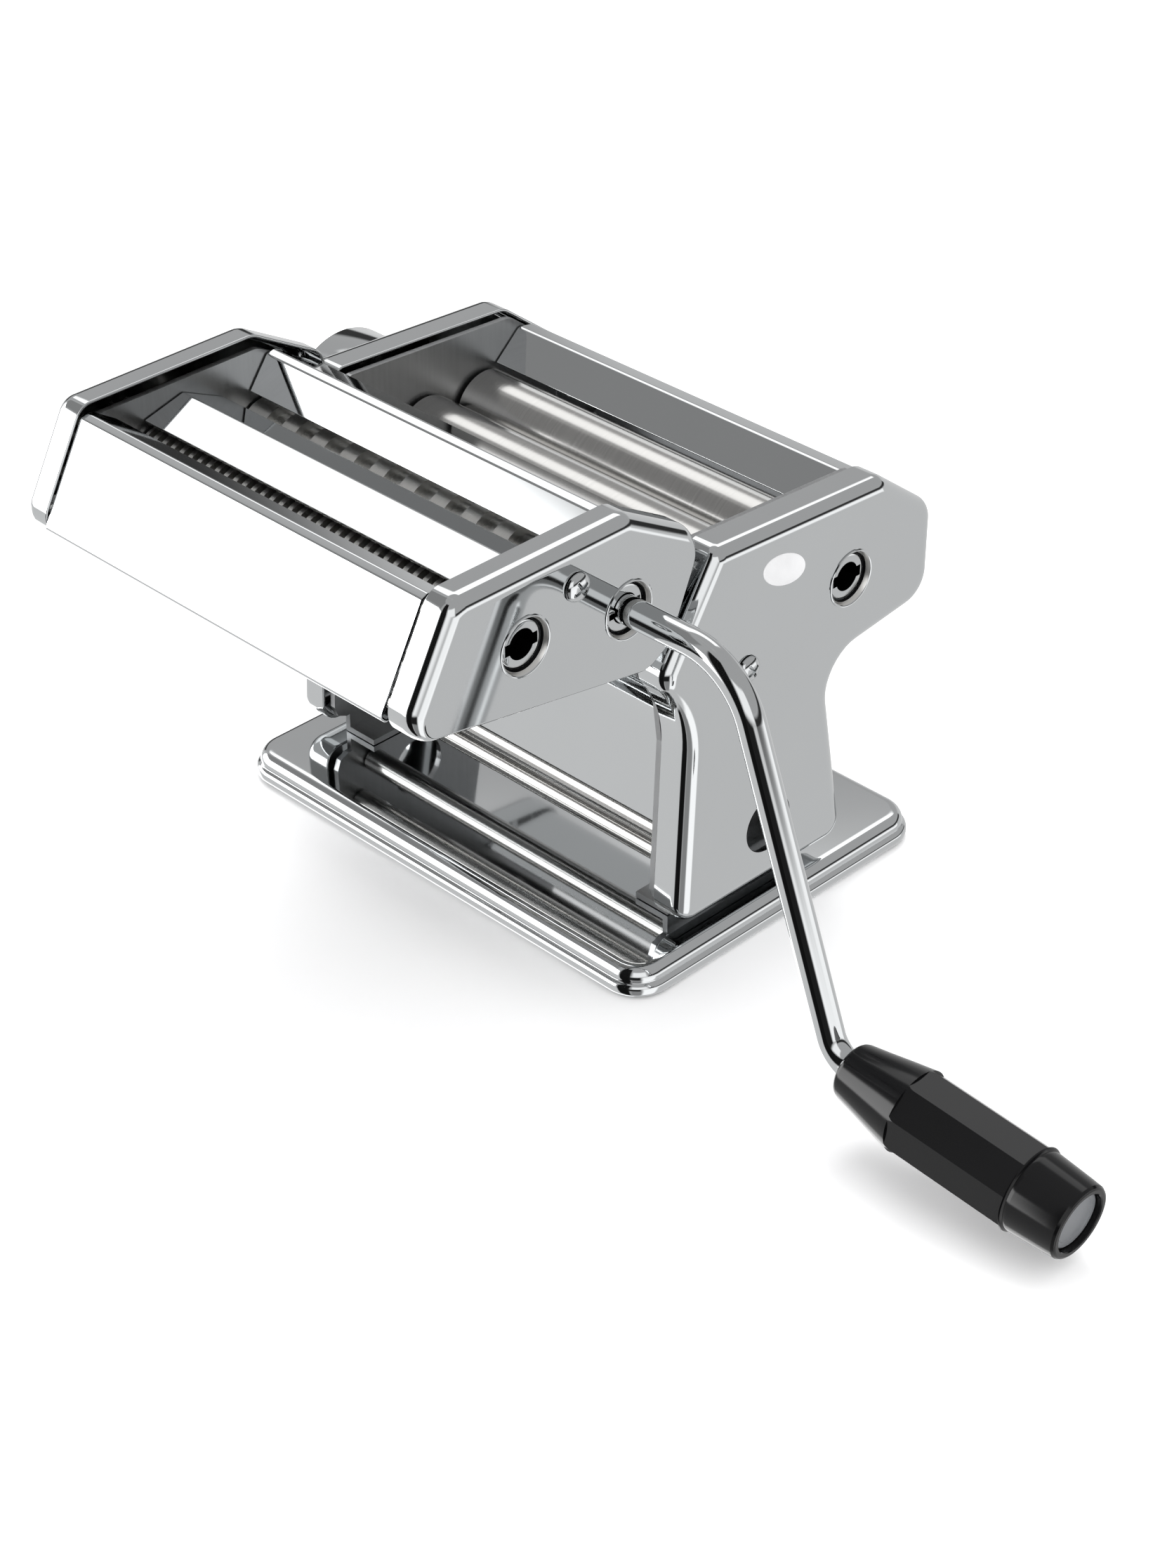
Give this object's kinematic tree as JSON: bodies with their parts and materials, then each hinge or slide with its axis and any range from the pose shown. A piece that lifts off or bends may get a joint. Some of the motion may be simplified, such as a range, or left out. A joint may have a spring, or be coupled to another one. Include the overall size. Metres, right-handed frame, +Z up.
{
  "type": "pasta roller machine",
  "caption": "Hand-cranked pasta machine: pressed chrome cheeks on a base tray, smooth rollers with a thickness knob, a lift-off two-slot cutter head and a bent crank with a black grip.",
  "frame": {"origin": "middle of the whole machine's box, crank and knob included, on the table surface that the feet stand on", "axes": "+X along the rollers towards the crank, -Y to the front where the cutter head hangs, +Z up"},
  "size_m": [0.3664, 0.213, 0.165],
  "materials": {
    "chrome": "polished chrome plate",
    "steel": "ground steel",
    "brass": "machined",
    "black_plastic": "glossy moulded",
    "grey_plastic": "satin moulded",
    "rubber": "matte"
  },
  "bodies": {
    "frame": {"base_tray": "chrome", "foot_front_crank_side": "rubber", "foot_front_knob_side": "rubber", "foot_back_crank_side": "rubber", "foot_back_knob_side": "rubber", "cheek_crank_side": "chrome", "cheek_knob_side": "chrome", "side_plate_crank_side": "steel", "side_plate_knob_side": "steel", "cheek_screw_crank_side": "chrome", "cheek_screw_knob_side": "chrome", "hopper_tray": "chrome", "rear_apron": "chrome", "front_apron": "chrome", "tie_rod_upper_front": "steel", "tie_rod_lower_front": "steel", "tie_rod_rear": "steel", "scraper_drive": "steel", "scraper_idle": "steel", "drive_bush_crank_side": "brass", "drive_bush_knob_side": "brass", "drive_bezel": "chrome"},
    "drive": {"drive_roller": "steel", "drive_gear": "steel", "drive_socket": "steel"},
    "carriage": {"idle_bush_crank_side": "brass"},
    "idle": {"idle_roller": "steel", "idle_gear": "steel"},
    "adjuster": {"eccentric_shaft": "steel", "adjuster_washer": "chrome", "knob_spring": "steel"},
    "knob": {"adjuster_knob": "chrome"},
    "cutter": {"cutter_cheek_crank_side": "chrome", "cutter_cheek_knob_side": "chrome", "cutter_plate_crank_side": "steel", "cutter_plate_knob_side": "steel", "cutter_screw": "chrome", "cutter_front_cover": "chrome", "cutter_divider": "chrome", "cutter_rear_guide": "chrome", "comb_fine": "steel", "comb_wide": "steel", "cutter_tie_rod": "steel", "fine_bezel": "chrome", "wide_bezel": "chrome"},
    "fine_driven": {"fine_cutter_driven": "steel", "fine_gear_driven": "steel", "fine_socket": "steel"},
    "fine_idle": {"fine_cutter_idle": "steel", "fine_gear_idle": "steel"},
    "wide_driven": {"wide_cutter_driven": "steel", "wide_gear_driven": "steel", "wide_socket": "steel"},
    "wide_idle": {"wide_cutter_idle": "steel", "wide_gear_idle": "steel"},
    "crank": {"crank_rod": "chrome"},
    "grip": {"crank_grip": "black_plastic", "grip_end_cap": "grey_plastic"}
  },
  "joints": [
    {"name": "drive_spin", "type": "hinge", "parent": "frame", "child": "drive", "pos_m": [-0.07121, 0.06801, 0.1086], "axis": [1, 0, 0], "continuous": true},
    {"name": "gap_slide", "type": "slide", "parent": "frame", "child": "carriage", "axis": [0, -1, 0], "range_m": [0, 0.0024]},
    {"name": "idle_spin", "type": "hinge", "parent": "carriage", "child": "idle", "pos_m": [-0.07121, 0.04201, 0.1086], "axis": [1, 0, 0], "continuous": true},
    {"name": "thickness_turn", "type": "hinge", "parent": "frame", "child": "adjuster", "pos_m": [-0.16, 0.04081, 0.1086], "axis": [-1, 0, 0], "range_deg": [0, 180]},
    {"name": "knob_pull", "type": "slide", "parent": "adjuster", "child": "knob", "axis": [-1, 0, 0], "range_m": [0, 0.005], "stiffness_N_per_m": 600, "springref_m": -0.004, "deforming": ["knob_spring"]},
    {"name": "cutter_lift", "type": "slide", "parent": "frame", "child": "cutter", "axis": [0, 0.5285, 0.849], "range_m": [0, 0.03]},
    {"name": "fine_spin", "type": "hinge", "parent": "cutter", "child": "fine_driven", "pos_m": [-0.07121, -0.06389, 0.1411], "axis": [1, 0, 0], "continuous": true},
    {"name": "fine_idle_spin", "type": "hinge", "parent": "cutter", "child": "fine_idle", "pos_m": [-0.07121, -0.08209, 0.1432], "axis": [1, 0, 0], "continuous": true},
    {"name": "wide_spin", "type": "hinge", "parent": "cutter", "child": "wide_driven", "pos_m": [-0.07121, -0.02399, 0.1355], "axis": [1, 0, 0], "continuous": true},
    {"name": "wide_idle_spin", "type": "hinge", "parent": "cutter", "child": "wide_idle", "pos_m": [-0.07121, -0.04209, 0.138], "axis": [1, 0, 0], "continuous": true},
    {"name": "crank_pull", "type": "slide", "parent": "wide_driven", "child": "crank", "axis": [1, 0, 0], "range_m": [0, 0.012]},
    {"name": "grip_spin", "type": "hinge", "parent": "crank", "child": "grip", "pos_m": [0.10109, -0.02399, 0.02315], "axis": [0.9967, 0, -0.0811], "continuous": true}
  ],
  "couplings": [
    {"joint": "idle_spin", "follows": "drive_spin", "ratio": -1},
    {"joint": "fine_idle_spin", "follows": "fine_spin", "ratio": -1},
    {"joint": "wide_idle_spin", "follows": "wide_spin", "ratio": -1},
    {"joint": "gap_slide", "follows": "thickness_turn", "m_per_rad": 0.00076394}
  ]
}
